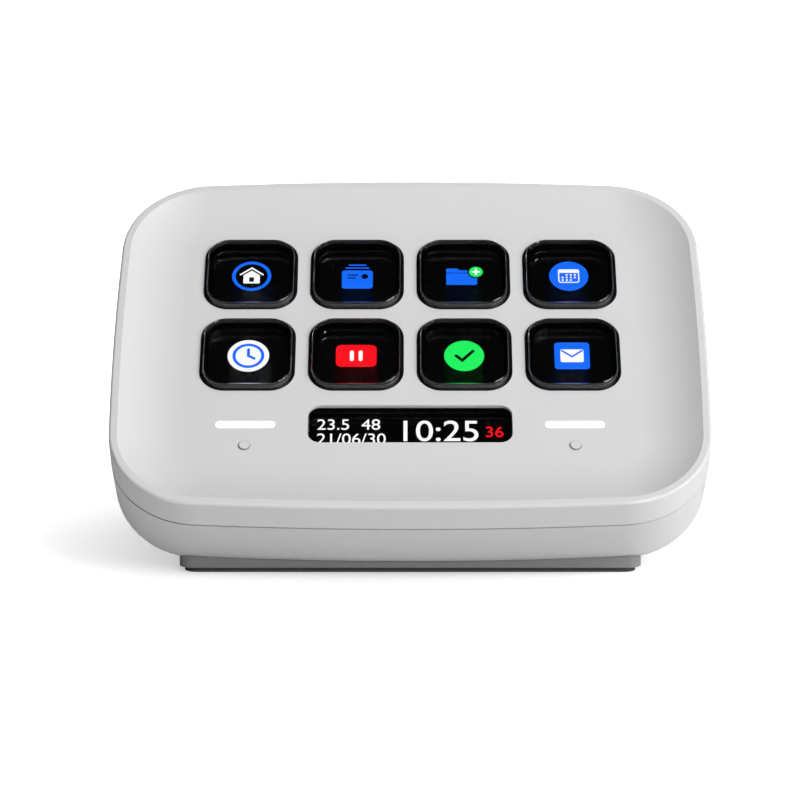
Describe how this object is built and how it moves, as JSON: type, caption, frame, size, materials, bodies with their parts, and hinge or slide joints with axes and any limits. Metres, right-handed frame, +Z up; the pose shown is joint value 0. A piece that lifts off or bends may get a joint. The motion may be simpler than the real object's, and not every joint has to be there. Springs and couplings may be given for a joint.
{
  "type": "display keypad",
  "caption": "Desk keypad with clear display keys in a dished face, a display strip below them and light bars, leaning on a fixed wedge stand.",
  "frame": {"origin": "middle of the foot pad's bottom face, which rests on the table", "axes": "+Z up, +X to the right as the user sees the keys, and the face looks towards -Y and up"},
  "size_m": [0.1072, 0.071, 0.0646],
  "materials": {
    "shell": "fine satin white moulding",
    "stand_plastic": "fine satin grey moulding",
    "clear_cap": "polished clear acrylic",
    "black_plastic": "black moulding",
    "silicone": "dark silicone",
    "clear_film": "clear printed film",
    "display_panel": "black display glass",
    "strip_lens": "polished smoked window",
    "foam": "closed-cell foam",
    "milky_light": "milky white light pipe",
    "contact_metal": "plated contact",
    "support_metal": "pressed sheet",
    "spacer_brass": "turned",
    "circuit_board": "green solder mask",
    "led_body": "lamp package",
    "chip_resin": "black moulding resin",
    "ferrite": "pressed ferrite",
    "ceramic": "sintered ceramic",
    "connector_plastic": "black connector resin",
    "port_steel": "formed shell",
    "ribbon_film": "amber polyimide film",
    "screw_steel": "zinc-plated screws",
    "base_steel": "stamped plate",
    "pad_rubber": "grey non-slip rubber"
  },
  "bodies": {
    "housing": {"top_housing": "shell", "rear_housing": "shell", "stand": "stand_plastic", "key_frame": "black_plastic", "dome_sheet": "silicone", "switch_film": "clear_film", "lcd_panel": "display_panel", "info_lcd": "display_panel", "info_lens": "strip_lens", "info_gasket": "foam", "light_pipe_left": "milky_light", "light_pipe_right": "milky_light", "touch_contact_left": "contact_metal", "touch_contact_right": "contact_metal", "support_plate": "support_metal", "spacers": "spacer_brass", "main_pcb": "circuit_board", "light_leds": "led_body", "processor": "chip_resin", "memory_chip": "chip_resin", "power_inductor": "ferrite", "capacitors": "ceramic", "lcd_connector": "connector_plastic", "info_connector": "connector_plastic", "usb_tongue": "connector_plastic", "usb_shell": "port_steel", "lcd_ribbon": "ribbon_film", "info_ribbon": "ribbon_film", "frame_screws": "screw_steel", "case_screws": "screw_steel", "stand_screws": "screw_steel", "base_screws": "screw_steel", "stand_base": "base_steel", "foot_pad": "pad_rubber"},
    "key_1": {"key_cap_1": "clear_cap", "key_skirt_1": "black_plastic"},
    "key_2": {"key_cap_2": "clear_cap", "key_skirt_2": "black_plastic"},
    "key_3": {"key_cap_3": "clear_cap", "key_skirt_3": "black_plastic"},
    "key_4": {"key_cap_4": "clear_cap", "key_skirt_4": "black_plastic"},
    "key_5": {"key_cap_5": "clear_cap", "key_skirt_5": "black_plastic"},
    "key_6": {"key_cap_6": "clear_cap", "key_skirt_6": "black_plastic"},
    "key_7": {"key_cap_7": "clear_cap", "key_skirt_7": "black_plastic"},
    "key_8": {"key_cap_8": "clear_cap", "key_skirt_8": "black_plastic"}
  },
  "joints": [
    {"name": "key_1_press", "type": "slide", "parent": "housing", "child": "key_1", "axis": [0, 0.6244, -0.7811], "range_m": [0, 0.0008], "stiffness_N_per_m": 500, "springref_m": -0.0003, "deforming": ["dome_sheet"]},
    {"name": "key_2_press", "type": "slide", "parent": "housing", "child": "key_2", "axis": [0, 0.6244, -0.7811], "range_m": [0, 0.0008], "stiffness_N_per_m": 500, "springref_m": -0.0003, "deforming": ["dome_sheet"]},
    {"name": "key_3_press", "type": "slide", "parent": "housing", "child": "key_3", "axis": [0, 0.6244, -0.7811], "range_m": [0, 0.0008], "stiffness_N_per_m": 500, "springref_m": -0.0003, "deforming": ["dome_sheet"]},
    {"name": "key_4_press", "type": "slide", "parent": "housing", "child": "key_4", "axis": [0, 0.6244, -0.7811], "range_m": [0, 0.0008], "stiffness_N_per_m": 500, "springref_m": -0.0003, "deforming": ["dome_sheet"]},
    {"name": "key_5_press", "type": "slide", "parent": "housing", "child": "key_5", "axis": [0, 0.6244, -0.7811], "range_m": [0, 0.0008], "stiffness_N_per_m": 500, "springref_m": -0.0003, "deforming": ["dome_sheet"]},
    {"name": "key_6_press", "type": "slide", "parent": "housing", "child": "key_6", "axis": [0, 0.6244, -0.7811], "range_m": [0, 0.0008], "stiffness_N_per_m": 500, "springref_m": -0.0003, "deforming": ["dome_sheet"]},
    {"name": "key_7_press", "type": "slide", "parent": "housing", "child": "key_7", "axis": [0, 0.6244, -0.7811], "range_m": [0, 0.0008], "stiffness_N_per_m": 500, "springref_m": -0.0003, "deforming": ["dome_sheet"]},
    {"name": "key_8_press", "type": "slide", "parent": "housing", "child": "key_8", "axis": [0, 0.6244, -0.7811], "range_m": [0, 0.0008], "stiffness_N_per_m": 500, "springref_m": -0.0003, "deforming": ["dome_sheet"]}
  ]
}
